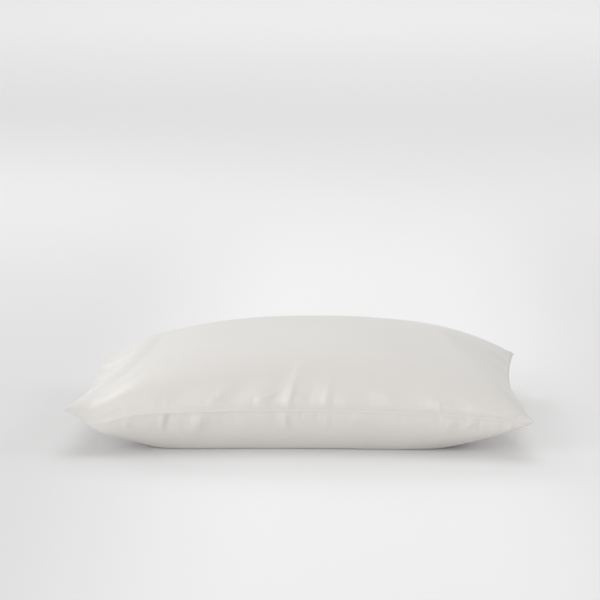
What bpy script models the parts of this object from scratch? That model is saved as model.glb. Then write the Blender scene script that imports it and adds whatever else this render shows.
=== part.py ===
"""A satin pillowcase, filled, lying on its back.

One closed body, lofted from cross-sections that run along its length. Every section has a top
panel and a bottom panel that meet in a sewn seam on the two long sides. The closed end is sewn
in the same way, and the open end is a flat hemmed mouth with two lips. Metres, +Z up.

X runs along the case, from the open end at -X to the closed end at +X. The near long side is
at -Y. Z is 0 on the surface that the case lies on.

Places on a panel are given by u along the case and v across it, both from -1 to 1.
"""

from collections import namedtuple
from math import pi

import bpy
import numpy as np

# Overall size
LENGTH = 0.738              # corner to corner along the case
WIDTH = 0.486               # corner to corner across the case
CROWN = 0.0869              # rise of the top panel over the seam
BELLY = 0.120               # fall of the bottom panel under the seam, if no surface stopped it

# Height of the seam over the surface
SEAM_AT_SIDES = 0.0761      # middle of a long side
SEAM_AT_ENDS = 0.0613       # middle of an end
SEAM_AT_CORNERS = 0.0652
FAR_CORNER_DROP = 0.006     # how much lower the far corner of the open end hangs
FAR_CORNER_FADE = 8.0       # the higher, the closer to the corner it stays

# How far the filling draws each edge in between its corners
DRAW_IN_NEAR_SIDE = 0.0252
DRAW_IN_FAR_SIDE = 0.0380
DRAW_IN_CLOSED_END = 0.0210
DRAW_IN_OPEN_END = 0.0163

# Roundness: a panel rises as (1 - |place|^flatness)^steepness, along the case and across it
Round = namedtuple("Round", "flatness steepness")
TOP_TO_OPEN_END = Round(2.41, 0.706)
TOP_TO_CLOSED_END = Round(2.54, 0.626)
TOP_TO_NEAR_SIDE = Round(3.50, 0.420)
TOP_TO_FAR_SIDE = Round(4.15, 0.416)
BOTTOM_TO_OPEN_END = Round(3.37, 1.154)
BOTTOM_TO_CLOSED_END = Round(2.94, 1.010)
BOTTOM_ACROSS = Round(2.98, 0.681)
LOWER_EDGE = 2.0            # the higher, the tighter the bend between the walls and the underside
FULLER_TOP = 0.080          # share by which the crown grows towards the closed end
FULLER_BOTTOM = -0.076      # the same for the bottom panel
FILLING_END = 0.926         # u where the underside's filling stops at the open end

# Ramp that the hem lies on: the top panel climbs it from the mouth to a ridge. The ridge's
# distance from the mouth is start + slope * place + bend * place^2, where place is 0 at the
# near side and 1 at the far side.
Reach = namedtuple("Reach", "start slope bend")
RAMP_REACH = Reach(-0.0334, 0.2485, -0.1421)
RAMP_LEAST_REACH = 0.002
RAMP_BEND = 1.3             # 1 is straight, higher is hollow
RAMP_SOFTNESS = 0.06        # 0 leaves the ridge sharp

# Long creases that run mostly across the top panel, each along a line of its own. to_open and
# to_closed: half widths towards the two ends; height: negative for a hollow; fade: length over
# which each end of the crease fades.
Place = namedtuple("Place", "across along")
Crease = namedtuple("Crease", "to_open to_closed height fade line")
CREASES = (
    Crease(0.038, 0.030, 0.006, 0.080, (
        Place(-0.250, 0.352),
        Place(-0.180, 0.316),
        Place(-0.120, 0.286),
        Place(-0.040, 0.260),
        Place(0.090, 0.232),
        Place(0.150, 0.222),
    )),
    Crease(0.015, 0.060, -0.005, 0.110, (
        Place(-0.175, -0.341),
        Place(-0.110, -0.311),
        Place(-0.055, -0.288),
        Place(0.000, -0.271),
        Place(0.055, -0.261),
        Place(0.190, -0.256),
    )),
)
CREASE_FROM_SEAM = 0.025    # distance from a long side's seam over which they fade
CREASE_POINT = 1.5          # 2 is a bell, lower is more pointed

# Near corner of the open end: a flap that sticks out, dips and then lifts
FLAP_REACH = 0.0073         # further out along X
FLAP_REACH_FADE = 2.23      # the higher, the closer to the corner it stays
FLAP_TUCK = 0.020           # how far its corner is pushed back from the near side
FLAP_TUCK_FADE = 14.0
FLAP_LIFT = 0.0128          # rise at the tip
FLAP_LENGTH = 0.095         # share of u over which it rises
FLAP_LIFT_FADE = 2.55
FLAP_DIP = 0.0112           # hollow between the flap and the filled part
FLAP_DIP_AT = 0.138         # share of u from the open end
FLAP_DIP_WIDTH = 0.10
FLAP_DIP_FADE = 4.0

# Seam and mouth
SEAM_THICKNESS = 0.0030     # both panels and their turnings, where the bead starts
BEAD_THICKNESS = 0.0020     # outer edge of the seam
BEAD_WIDTH = 0.0025         # how far the seam stands out from the filled part
LIP_THICKNESS = 0.0012      # folded hem of one panel
MOUTH_GAP = 0.0030          # between the lips, in the middle of the open end
MOUTH_GAP_AT_CORNERS = 0.0004
MOUTH_DEPTH = 0.018
MOUTH_FLOOR = 0.0004        # gap left where the mouth closes on the filling

# Mesh
SECTIONS = 46               # evenly eased along the case, besides those at the folds
STRIPS = 34                 # across each panel
EASING = 0.75               # 0 spaces evenly, 1 crowds towards the seams
EXTRA_SECTIONS = (-0.8, 0.0, 0.8)    # at each narrow fold, in fold widths
NARROW_FOLD = 0.016

# Folds that leave a seam. side: the seam; panel: which panel; at: place along the seam;
# lean: shift along the seam for each metre away from it; width: half width of the fold;
# reach: how far it runs over the panel; height: above the panel, negative for a hollow.
Fold = namedtuple("Fold", "side panel at lean width reach height")
FOLDS = (
    Fold("near", "top", -0.285, 4.40, 0.0750, 0.075, -0.0045),    # hollow behind the flap
    Fold("near", "top", -0.0225, 0.28, 0.0080, 0.105, 0.0034),
    Fold("near", "top", -0.048, 0.40, 0.0160, 0.105, -0.0032),
    Fold("near", "top", 0.038, 0.22, 0.0100, 0.085, 0.0020),
    Fold("near", "top", 0.009, 0.25, 0.0140, 0.085, -0.0024),
    Fold("near", "top", -0.080, 1.45, 0.0100, 0.060, 0.0016),
    Fold("near", "top", -0.155, 1.00, 0.0100, 0.060, 0.0022),
    Fold("near", "top", -0.112, 0.70, 0.0200, 0.075, -0.0026),
    Fold("near", "top", 0.110, -0.30, 0.0200, 0.060, -0.0016),
    Fold("near", "top", 0.190, -0.45, 0.0220, 0.060, -0.0016),
    Fold("near", "bottom", -0.221, 0.00, 0.0070, 0.045, 0.0022),
    Fold("near", "bottom", -0.161, -0.17, 0.0130, 0.060, 0.0030),
    Fold("near", "bottom", -0.025, 0.06, 0.0070, 0.050, 0.0024),
    Fold("near", "bottom", 0.039, 0.05, 0.0080, 0.040, 0.0014),
    Fold("near", "bottom", 0.092, 0.65, 0.0180, 0.045, 0.0016),
    Fold("near", "bottom", 0.240, 0.00, 0.0110, 0.040, 0.0020),
    Fold("near", "bottom", 0.281, -0.80, 0.0080, 0.035, 0.0014),
    Fold("far", "top", -0.240, 0.90, 0.0180, 0.080, 0.0026),
    Fold("far", "top", 0.030, 0.20, 0.0160, 0.070, 0.0022),
    Fold("far", "top", 0.225, -0.50, 0.0150, 0.070, 0.0022),
    Fold("far", "bottom", -0.110, 0.20, 0.0150, 0.055, 0.0022),
    Fold("far", "bottom", 0.150, -0.20, 0.0150, 0.055, 0.0022),
    Fold("closed", "top", -0.110, 0.40, 0.0200, 0.090, 0.0026),
    Fold("closed", "top", 0.050, -0.20, 0.0160, 0.080, 0.0024),
    Fold("closed", "top", 0.140, -0.50, 0.0200, 0.090, 0.0026),
    Fold("closed", "bottom", -0.060, 0.10, 0.0160, 0.060, 0.0022),
    Fold("closed", "bottom", 0.090, -0.20, 0.0160, 0.060, 0.0022),
    Fold("open", "top", -0.090, 0.30, 0.0200, 0.110, 0.0026),
    Fold("open", "top", 0.020, 0.10, 0.0180, 0.100, 0.0030),
    Fold("open", "top", 0.120, -0.30, 0.0200, 0.110, 0.0030),
    Fold("open", "bottom", -0.050, 0.10, 0.0180, 0.070, 0.0022),
    Fold("open", "bottom", 0.080, -0.20, 0.0180, 0.070, 0.0022),
)

SATIN_COLOUR = (0.76, 0.745, 0.725, 1.0)
SATIN_ROUGHNESS = 0.42
SHARP_EDGE = pi / 6.0       # edges that turn by more, such as the seam's, are shaded sharp


def clear_scene():
    """Remove every object, so that the script can run again."""
    for thing in list(bpy.data.objects):
        bpy.data.objects.remove(thing, do_unlink=True)


def eased(count):
    """Places from -1 to 1, crowded towards both ends."""
    even = np.linspace(-1.0, 1.0, count)
    return (1.0 - EASING) * even + EASING * np.sin(even * pi / 2.0)


def section_places():
    """u of each section: the eased ones, and extra ones where a narrow fold meets a long side."""
    places = list(eased(SECTIONS))
    for fold in FOLDS:
        if fold.side in ("near", "far") and fold.width < NARROW_FOLD:
            for step in EXTRA_SECTIONS:
                places.append((fold.at + step * fold.width) / (LENGTH / 2.0))
    places = np.sort(np.array(places))
    apart = np.concatenate([[True], np.diff(places) > 0.3 * 2.0 / SECTIONS])
    apart[-1] = True
    return places[apart]


def plan(u, v):
    """X and Y of a place: a rectangle whose edges are drawn in between the corners, with the flap."""
    draw_in_end = np.where(u < 0.0, DRAW_IN_OPEN_END, DRAW_IN_CLOSED_END)
    x = u * (LENGTH / 2.0 - draw_in_end * (1.0 - v**2))
    draw_in_side = np.where(v < 0.0, DRAW_IN_NEAR_SIDE, DRAW_IN_FAR_SIDE)
    y = v * (WIDTH / 2.0 - draw_in_side * (1.0 - u**2))
    near = ((1.0 - v) / 2.0) ** FLAP_REACH_FADE
    open_end = (1.0 - u) / 2.0
    x = x - FLAP_REACH * near * open_end**8
    return x, y + FLAP_TUCK * near * open_end**FLAP_TUCK_FADE


def seam_height(u, v):
    """Height of the sheet in which the seam lies, with the flap at the open end's near corner."""
    height = SEAM_AT_CORNERS + (SEAM_AT_SIDES - SEAM_AT_CORNERS) * (1.0 - u**2)
    height = height + (SEAM_AT_ENDS - SEAM_AT_CORNERS) * (1.0 - v**2)
    near = (1.0 - v) / 2.0
    from_end = 1.0 + u
    rise = np.clip(1.0 - from_end / FLAP_LENGTH, 0.0, 1.0) ** 1.5 * near**FLAP_LIFT_FADE
    dip = np.exp(-(((from_end - FLAP_DIP_AT) / FLAP_DIP_WIDTH) ** 2)) * near**FLAP_DIP_FADE
    far_corner = ((1.0 + v) / 2.0 * (1.0 - u) / 2.0) ** FAR_CORNER_FADE
    return height + FLAP_LIFT * rise - FLAP_DIP * dip - FAR_CORNER_DROP * far_corner


def roundness(place, shape):
    """1 in the middle, falling to 0 at -1 and 1."""
    return np.clip(1.0 - np.abs(place) ** shape.flatness, 0.0, 1.0) ** shape.steepness


def top_fullness(u, v):
    """Share of the crown that the top panel reaches.

    Roundness along the case times roundness across it. At the open end the ramp cuts the
    roundness along off: the lesser of the two, softened where they meet.
    """
    along = np.where(u < 0.0, roundness(u, TOP_TO_OPEN_END), roundness(u, TOP_TO_CLOSED_END))
    across = np.where(v < 0.0, roundness(v, TOP_TO_NEAR_SIDE), roundness(v, TOP_TO_FAR_SIDE))
    place = (1.0 + v) / 2.0
    reach = RAMP_REACH.start + RAMP_REACH.slope * place + RAMP_REACH.bend * place**2
    reach = np.maximum(reach, RAMP_LEAST_REACH) / (LENGTH / 2.0)
    climb = (np.maximum(1.0 + u, 0.0) / reach) ** RAMP_BEND
    ramp = roundness(reach - 1.0, TOP_TO_OPEN_END) * climb
    apart = np.sqrt((along - ramp) ** 2 + (RAMP_SOFTNESS * along) ** 2)
    along = np.where(u < 0.0, (along + ramp - apart) / 2.0, along)
    return (1.0 + FULLER_TOP * u) * along * across


def bottom_fullness(u, v):
    """Share of the belly that the bottom panel reaches: two roundnesses joined by a tight bend."""
    filled = u / FILLING_END
    along = np.where(u < 0.0, roundness(filled, BOTTOM_TO_OPEN_END), roundness(u, BOTTOM_TO_CLOSED_END))
    across = roundness(v, BOTTOM_ACROSS)
    least = 1e-4    # keeps the powers finite at the seams
    joined = np.maximum(along, least) ** -LOWER_EDGE + np.maximum(across, least) ** -LOWER_EDGE - 1.0
    return (1.0 + FULLER_BOTTOM * u) * joined ** (-1.0 / LOWER_EDGE)


def mouth_gap(v):
    """Gap between the lips of the open end, closing towards its corners."""
    return MOUTH_GAP_AT_CORNERS + (MOUTH_GAP - MOUTH_GAP_AT_CORNERS) * np.sqrt(1.0 - v**2)


def half_thickness(u, v):
    """Half the thickness of the case where nothing fills it."""
    at_mouth = mouth_gap(v) / 2.0 + LIP_THICKNESS
    share = np.clip((-u - FILLING_END) / (1.0 - FILLING_END), 0.0, 1.0)
    return SEAM_THICKNESS / 2.0 + (at_mouth - SEAM_THICKNESS / 2.0) * share


def panel(u, v, name):
    """Points of a panel over a grid of u and v, with its folds, as an array of X, Y and Z."""
    x, y = plan(u, v)
    if name == "top":
        z = seam_height(u, v) + half_thickness(u, v) + CROWN * top_fullness(u, v)
    else:
        z = seam_height(u, v) - half_thickness(u, v) - BELLY * bottom_fullness(u, v)
    points = np.stack([x, y, z], axis=-1)
    height = folds(points, name)
    if name == "top":
        height = height + creases(points)
    points = points + height[..., None] * outward(points, name)
    points[..., 2] = np.maximum(points[..., 2], 0.0)
    return points


def outward(points, name):
    """Unit normals of a panel, pointing out of the case."""
    along = np.gradient(points, axis=0)
    across = np.gradient(points, axis=1)
    normals = np.cross(along, across)
    normals /= np.maximum(np.linalg.norm(normals, axis=-1, keepdims=True), 1e-12)
    return normals if name == "top" else -normals


def from_edge(points, side):
    """Distance of each point from a side's seam, square to it."""
    edges = {"near": points[:, :1], "far": points[:, -1:], "open": points[:1], "closed": points[-1:]}
    away = points - edges[side]
    away[..., runs_along(side)] = 0.0
    return np.linalg.norm(away, axis=-1)


def runs_along(side):
    """Axis that a side runs along: 0 for X and 1 for Y."""
    return 0 if side in ("near", "far") else 1


def folds(points, name):
    """Height of the folds of a panel at each of its points; each is highest at a quarter of its reach."""
    height = np.zeros(points.shape[:2])
    for fold in FOLDS:
        if fold.panel != name:
            continue
        away = from_edge(points, fold.side)
        centre = fold.at + fold.lean * away
        ridge = np.exp(-(((points[..., runs_along(fold.side)] - centre) / fold.width) ** 2))
        share = np.clip(away / fold.reach, 0.0, 1.0)
        height += fold.height * ridge * np.sin(pi * np.sqrt(share)) ** 2
    return height


def creases(points):
    """Height of the long creases at each point: pointed bells across a cubic through each line."""
    height = np.zeros(points.shape[:2])
    x, y = points[..., 0], points[..., 1]
    for crease in CREASES:
        line = np.array(crease.line)
        curve = np.polyfit(line[:, 0], line[:, 1], 3)
        across = np.clip(y, line[0, 0], line[-1, 0])
        slope = np.polyval(np.polyder(curve), across)
        away = (x - np.polyval(curve, across)) / np.sqrt(1.0 + slope**2)
        half_width = np.where(away < 0.0, crease.to_open, crease.to_closed)
        bell = np.exp(-(np.abs(away / half_width) ** CREASE_POINT))
        share = np.clip(np.minimum(y - line[0, 0], line[-1, 0] - y) / crease.fade, 0.0, 1.0)
        height += crease.height * bell * share**2 * (3.0 - 2.0 * share)
    from_sides = np.minimum(from_edge(points, "near"), from_edge(points, "far"))
    return height * np.clip(from_sides / CREASE_FROM_SEAM, 0.0, 1.0)


def with_bead(top, bottom, offset):
    """The two panels' edge points moved out by offset, and drawn together to the bead's edge."""
    middle = (top + bottom) / 2.0
    half = np.array([0.0, 0.0, BEAD_THICKNESS / 2.0])
    return middle + offset + half, middle + offset - half


def rings(top, bottom):
    """Closed rings of points, one for each section: top panel, far bead, bottom panel, near bead."""
    out = np.array([0.0, BEAD_WIDTH, 0.0])
    near_up, near_down = with_bead(top[:, :1], bottom[:, :1], -out)
    far_up, far_down = with_bead(top[:, -1:], bottom[:, -1:], out)
    return np.concatenate([near_up, top, far_up, far_down, bottom[:, ::-1], near_down], axis=1)


def mouth_rings(v):
    """The inner edge of the lips and the floor of the mouth, as two rings inside the first section."""
    across = np.concatenate([[-1.0], v, [1.0]])
    beads = np.zeros(len(across))
    beads[0], beads[-1] = -BEAD_WIDTH, BEAD_WIDTH
    inner = []
    for depth, gap in ((0.0, mouth_gap(across)), (MOUTH_DEPTH, np.full(len(across), MOUTH_FLOOR))):
        u = np.full(len(across), depth / (LENGTH / 2.0) - 1.0)
        x, y = plan(u, across)
        y = (y + beads) * (1.0 - 2.0 * LIP_THICKNESS / WIDTH)
        z = seam_height(u, across)
        upper = np.stack([x, y, z + gap / 2.0], axis=-1)
        lower = np.stack([x, y, z - gap / 2.0], axis=-1)
        inner.append(np.concatenate([upper, lower[::-1]]))
    return inner


def closed_end_ring(last):
    """The bead along the closed end: the last ring moved out, its two sides drawn together."""
    count = len(last) // 2
    upper, lower = with_bead(last[:count], last[count:][::-1], np.array([BEAD_WIDTH, 0.0, 0.0]))
    return np.concatenate([upper, lower[::-1]])


def loft(name, all_rings):
    """A closed mesh through the rings, with a strip of faces over each end."""
    count = len(all_rings[0])
    half = count // 2
    last = (len(all_rings) - 1) * count
    faces = []
    for ring in range(len(all_rings) - 1):
        for k in range(count):
            a = ring * count + k
            b = ring * count + (k + 1) % count
            faces.append((a, a + count, b + count, b))
    for k in range(half - 1):
        faces.append((k, k + 1, count - 2 - k, count - 1 - k))
        faces.append((last + k, last + count - 1 - k, last + count - 2 - k, last + k + 1))
    mesh = bpy.data.meshes.new(name)
    mesh.from_pydata(np.concatenate(all_rings).tolist(), [], faces)
    mesh.validate()
    mesh.update()
    return mesh


def satin():
    """Off-white satin: pale, soft, with a low sheen."""
    material = bpy.data.materials.new("off_white_satin")
    material.use_nodes = True
    shader = material.node_tree.nodes["Principled BSDF"]
    shader.inputs["Base Color"].default_value = SATIN_COLOUR
    shader.inputs["Roughness"].default_value = SATIN_ROUGHNESS
    shader.inputs["Metallic"].default_value = 0.0
    return material


def filled_pillowcase():
    """The case and its filling as one body, standing over the middle of the origin."""
    v = eased(STRIPS + 1)
    grid_u, grid_v = np.meshgrid(section_places(), v, indexing="ij")
    sections = rings(panel(grid_u, grid_v, "top"), panel(grid_u, grid_v, "bottom"))
    lip_edge, mouth_floor = mouth_rings(v)
    all_rings = [mouth_floor, lip_edge] + list(sections) + [closed_end_ring(sections[-1])]
    points = np.concatenate(all_rings)
    centre = (points.min(axis=0) + points.max(axis=0)) / 2.0
    centre[2] = 0.0
    mesh = loft("filled_pillowcase", [ring - centre for ring in all_rings])
    mesh.shade_smooth()
    mesh.set_sharp_from_angle(angle=SHARP_EDGE)
    mesh.materials.append(satin())
    return bpy.data.objects.new("filled_pillowcase", mesh)


def main():
    clear_scene()
    collection = bpy.data.collections.new("pillowcase")
    bpy.context.scene.collection.children.link(collection)
    collection.objects.link(filled_pillowcase())


main()
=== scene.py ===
"""Dresses the filled pillowcase: satin panels, seams, hem, mouth and stitches, in a plain studio.

Every surface is a function of two parameters on a grid: u runs along the case, from -1 at the
open end to 1 at the closed end, and v runs across it, from -1 at the near long side to 1 at the
far one. Metres, +Z up. The case lies on Z = 0, with its near long side towards the camera.
"""

import logging
from dataclasses import dataclass, field
from enum import Enum
from math import cos, pi, radians, sin
from typing import Any

import bpy
import numpy as np
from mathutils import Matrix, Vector


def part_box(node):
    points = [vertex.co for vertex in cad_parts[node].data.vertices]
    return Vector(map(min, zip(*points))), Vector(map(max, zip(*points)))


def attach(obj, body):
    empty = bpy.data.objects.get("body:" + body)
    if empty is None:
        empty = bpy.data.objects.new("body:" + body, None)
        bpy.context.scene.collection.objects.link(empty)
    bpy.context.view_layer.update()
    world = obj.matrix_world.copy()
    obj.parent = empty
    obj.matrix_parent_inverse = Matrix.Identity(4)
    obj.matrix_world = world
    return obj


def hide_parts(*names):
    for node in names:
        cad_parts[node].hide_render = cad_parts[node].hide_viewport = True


LOG = logging.getLogger("pillowcase")
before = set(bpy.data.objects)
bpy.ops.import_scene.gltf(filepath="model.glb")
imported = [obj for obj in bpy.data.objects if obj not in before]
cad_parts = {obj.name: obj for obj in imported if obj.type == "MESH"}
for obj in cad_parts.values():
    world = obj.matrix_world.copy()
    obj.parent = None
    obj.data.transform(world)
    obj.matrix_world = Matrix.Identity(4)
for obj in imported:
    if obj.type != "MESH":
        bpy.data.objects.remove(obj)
CAD_NODE = "filled_pillowcase"
BODY = "root"
MM = 0.001
LEAST_LENGTH = 1e-12    # keeps a division by a length finite
FLOOR_SIZE = 80.0
FLOOR_DROP = 0.3 * MM   # how far the floor lies under the case
SURROUND = 0.54         # strength of the studio's even light


class Panel(Enum):
    """The two panels of the case."""

    TOP = "top"
    BOTTOM = "bottom"


class Side(Enum):
    """The four sides of the case, each with its seam or its hem."""

    NEAR = "near"
    FAR = "far"
    OPEN = "open"
    CLOSED = "closed"

    def runs_along(self) -> int:
        """Axis that the side runs along: 0 for X and 1 for Y."""
        return 0 if self in (Side.NEAR, Side.FAR) else 1


def smooth_step(share: np.ndarray) -> np.ndarray:
    """Eases from 0 to 1 with level ends while the share goes from 0 to 1, and stays level outside."""
    share = np.clip(share, 0.0, 1.0)
    return share**2 * (3.0 - 2.0 * share)


def crowded(even: np.ndarray, part: float) -> np.ndarray:
    """Moves even places out towards -1 and 1: a part of each follows a sine, and the rest stays even."""
    return (1.0 - part) * even + part * np.sin(even * pi / 2.0)


@dataclass(frozen=True)
class Roundness:
    """How a panel rises from its edges: (1 - |place| ** flatness) ** steepness."""

    flatness: float
    steepness: float

    def at(self, place: np.ndarray) -> np.ndarray:
        """Share of the full rise at each place: 1 in the middle, 0 at -1 and 1."""
        return np.clip(1.0 - np.abs(place) ** self.flatness, 0.0, 1.0) ** self.steepness


@dataclass(frozen=True)
class Fold:
    """A soft ridge, or a hollow where its height is negative, that leaves a seam over a panel."""

    side: Side
    panel: Panel
    at: float       # place along the seam
    lean: float     # shift along the seam for each metre away from it
    width: float    # half width
    reach: float    # how far it runs over the panel
    height: float


@dataclass(frozen=True)
class Ridge:
    """A long crease of the top panel that runs mostly across the case, along a line of its own."""

    line: tuple[tuple[float, float], ...]   # Y and X of places along it, in mm
    half_width: tuple[float, float]         # towards the open and the closed end
    height: float
    fade: float                             # length over which each end of it fades
    power: float = 1.5                      # of the bell across it: 2 would round its top

    def heights(self, x: np.ndarray, y: np.ndarray) -> np.ndarray:
        """Height of the ridge at each place: a pointed bell across a cubic fitted to its line.

        Args:
            x: places along the case.
            y: places across it.

        Returns:
            The heights.
        """
        rows = np.array(self.line) * MM
        curve = np.polyfit(rows[:, 0], rows[:, 1], deg=3)
        first, last = rows[:, 0].min(), rows[:, 0].max()
        along = np.clip(y, first, last)
        slope = np.polyval(np.polyder(curve), along)
        away = (x - np.polyval(curve, along)) / np.sqrt(1.0 + slope**2)
        width = np.where(away < 0.0, *self.half_width)
        bell = np.exp(-(np.abs(away / width) ** self.power))
        return self.height * bell * smooth_step(np.minimum(y - first, last - y) / self.fade)


def fold_rows(side: Side, panel: Panel, rows: tuple[tuple[float, ...], ...]) -> list[Fold]:
    """Folds of one side of one panel.

    Args:
        side: the side that they leave.
        panel: the panel that they run over.
        rows: place, lean, half width, reach and height of each, all in mm but for the lean.

    Returns:
        One fold for each row.
    """
    return [Fold(side, panel, at * MM, lean, width * MM, reach * MM, height * MM)
            for at, lean, width, reach, height in rows]


@dataclass
class CaseForm:
    """The filled case without its folds: two panels that share the sheet of the seam."""

    overall_length: float
    overall_width: float
    bead_width: float = 2.5 * MM
    crown: float = 86.9 * MM
    belly: float = 120.0 * MM
    seam_at_sides: float = 76.1 * MM
    seam_at_ends: float = 61.3 * MM
    seam_at_corners: float = 65.2 * MM
    far_corner_drop: float = 6.0 * MM   # how much lower the far corner of the open end hangs
    far_corner_fade: float = 8.0
    draw_in_near: float = 25.2 * MM
    draw_in_far: float = 38.0 * MM
    draw_in_closed: float = 21.0 * MM
    draw_in_open: float = 16.3 * MM
    top_to_open: Roundness = Roundness(2.41, 0.706)
    top_to_closed: Roundness = Roundness(2.54, 0.626)
    top_to_near: Roundness = Roundness(3.5, 0.42)
    top_to_far: Roundness = Roundness(4.15, 0.416)
    bottom_to_open: Roundness = Roundness(3.37, 1.154)
    bottom_to_closed: Roundness = Roundness(2.94, 1.01)
    bottom_across: Roundness = Roundness(2.98, 0.681)
    lower_edge: float = 2.0     # the higher, the tighter the bend between the walls and the underside
    least_share: float = 1e-4   # keeps the powers that make that bend finite at the edges
    fuller_top: float = 0.08            # what its rise gains from the middle to the closed end
    fuller_bottom: float = -0.076
    filling_end: float = 0.926          # how far out from the middle the filling goes, in u
    ramp_reach: tuple[float, float, float] = (-33.4 * MM, 248.5 * MM, -142.1 * MM)  # start, slope, bend
    ramp_least_reach: float = 2.0 * MM
    ramp_bend: float = 1.3
    ramp_softness: float = 0.06
    flap_reach: float = 7.3 * MM
    flap_reach_fade: float = 2.23       # power by which its reach and tuck fade across the case
    flap_reach_taper: float = 8.0       # power by which its reach fades along the case
    flap_tuck: float = 20.0 * MM        # how far its corner is pushed back from the near side
    flap_tuck_fade: float = 14.0        # power by which its tuck fades along the case
    flap_lift: float = 12.8 * MM
    flap_length: float = 0.095          # how far in from the mouth the lift goes, in u
    flap_lift_bend: float = 1.5
    flap_lift_fade: float = 2.55        # power by which it fades across the case
    flap_dip: float = 11.2 * MM
    flap_dip_at: float = 0.138          # how far in from the mouth, in u
    flap_dip_width: float = 0.10        # in u
    flap_dip_fade: float = 4.0          # power by which it fades across the case
    tip_thicker: float = 2.0 * MM       # extra layers where the hem meets the near seam
    tip_lip_out: float = 4.0 * MM       # how far the lower lip sticks out past the upper one there
    tip_fade: float = 12.0
    seam_thickness: float = 3.0 * MM
    lip_thickness: float = 1.2 * MM
    mouth_gap: float = 3.0 * MM
    mouth_gap_at_corners: float = 0.4 * MM
    mouth_shut_for: float = 0.5         # how far in from the near corner it goes on opening, in v

    @property
    def length(self) -> float:
        """Corner to corner along the case, without the flap's reach and the seam's bead."""
        return self.overall_length - self.flap_reach - self.bead_width

    @property
    def width(self) -> float:
        """Corner to corner across the case, without the seam's bead."""
        return self.overall_width - 2.0 * self.bead_width

    def plan(self, u: np.ndarray, v: np.ndarray) -> tuple[np.ndarray, np.ndarray]:
        """X and Y of each place.

        A rectangle whose edges are drawn in between its corners as parabolas, with the near
        corner of the open end pulled out along X and pushed back along Y.

        Args:
            u: places along the case.
            v: places across it.

        Returns:
            X and Y.
        """
        draw_in_end = np.where(u < 0.0, self.draw_in_open, self.draw_in_closed)
        x = u * (self.length / 2.0 - draw_in_end * (1.0 - v**2))
        draw_in_side = np.where(v < 0.0, self.draw_in_near, self.draw_in_far)
        y = v * (self.width / 2.0 - draw_in_side * (1.0 - u**2))
        near = ((1.0 - v) / 2.0) ** self.flap_reach_fade
        open_end = (1.0 - u) / 2.0
        x = x - self.flap_reach * near * open_end**self.flap_reach_taper
        return x, y + self.flap_tuck * near * open_end**self.flap_tuck_fade

    def seam_height(self, u: np.ndarray, v: np.ndarray) -> np.ndarray:
        """Height of the sheet that the seam lies in.

        Parabolas between the corners and the middles of the sides, plus a lift at the near
        corner of the open end, which is a power of the distance from its start, and a
        bell-shaped dip behind it. The open end's far corner then hangs a little: a power of how
        near each place is to it.

        Args:
            u: places along the case.
            v: places across it.

        Returns:
            Z.
        """
        height = self.seam_at_corners + (self.seam_at_sides - self.seam_at_corners) * (1.0 - u**2)
        height = height + (self.seam_at_ends - self.seam_at_corners) * (1.0 - v**2)
        near = (1.0 - v) / 2.0
        from_end = 1.0 + u
        rise = np.clip(1.0 - from_end / self.flap_length, 0.0, 1.0) ** self.flap_lift_bend
        dip = np.exp(-(((from_end - self.flap_dip_at) / self.flap_dip_width) ** 2))
        height = height + self.flap_lift * rise * near**self.flap_lift_fade
        height = height - self.flap_dip * dip * near**self.flap_dip_fade
        far_corner = ((1.0 + v) / 2.0 * (1.0 - u) / 2.0) ** self.far_corner_fade
        return height - self.far_corner_drop * far_corner

    def gap(self, v: np.ndarray) -> np.ndarray:
        """Gap between the lips of the mouth: half an ellipse, which opens from the flap as a square.

        Args:
            v: places across the case.

        Returns:
            The gap at each place.
        """
        wide = self.mouth_gap - self.mouth_gap_at_corners
        opened = np.clip((1.0 + v) / self.mouth_shut_for, 0.0, 1.0) ** 2
        return self.mouth_gap_at_corners + wide * opened * np.sqrt(np.clip(1.0 - v**2, 0.0, 1.0))

    def half_thickness(self, u: np.ndarray, v: np.ndarray) -> np.ndarray:
        """Half the thickness where nothing fills the case.

        The seam's, which past the filling goes over into the mouth's in a straight line, and a
        little more at the flap's tip.

        Args:
            u: places along the case.
            v: places across it.

        Returns:
            Half the thickness at each place.
        """
        at_mouth = self.gap(v) / 2.0 + self.lip_thickness
        share = np.clip((-u - self.filling_end) / (1.0 - self.filling_end), 0.0, 1.0)
        at_seam = self.seam_thickness / 2.0
        return at_seam + (at_mouth - at_seam) * share + self.tip_thicker / 2.0 * self.at_tip(u, v)

    def at_tip(self, u: np.ndarray, v: np.ndarray) -> np.ndarray:
        """Share of what marks the flap's tip: 1 at the near corner of the open end, fading fast."""
        return ((1.0 - v) / 2.0 * (1.0 - u) / 2.0) ** self.tip_fade

    def top_along(self, u: np.ndarray, v: np.ndarray) -> np.ndarray:
        """Share of the top panel's rise along the case.

        Roundness from end to end. At the open end a ramp, the distance from the mouth raised to
        a power, cuts it off at a ridge: the lesser of the two, softened. The ridge's distance
        from the mouth is a parabola across the case, so it starts near the near corner.

        Args:
            u: places along the case.
            v: places across it.

        Returns:
            The share at each place.
        """
        along = np.where(u < 0.0, self.top_to_open.at(u), self.top_to_closed.at(u))
        place = (1.0 + v) / 2.0
        start, slope, bend = self.ramp_reach
        reach = np.maximum(start + slope * place + bend * place**2, self.ramp_least_reach)
        reach = reach / (self.length / 2.0)
        ramp = self.top_to_open.at(reach - 1.0) * (np.maximum(1.0 + u, 0.0) / reach) ** self.ramp_bend
        apart = np.sqrt((along - ramp) ** 2 + (self.ramp_softness * along) ** 2)
        return np.where(u < 0.0, (along + ramp - apart) / 2.0, along)

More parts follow.
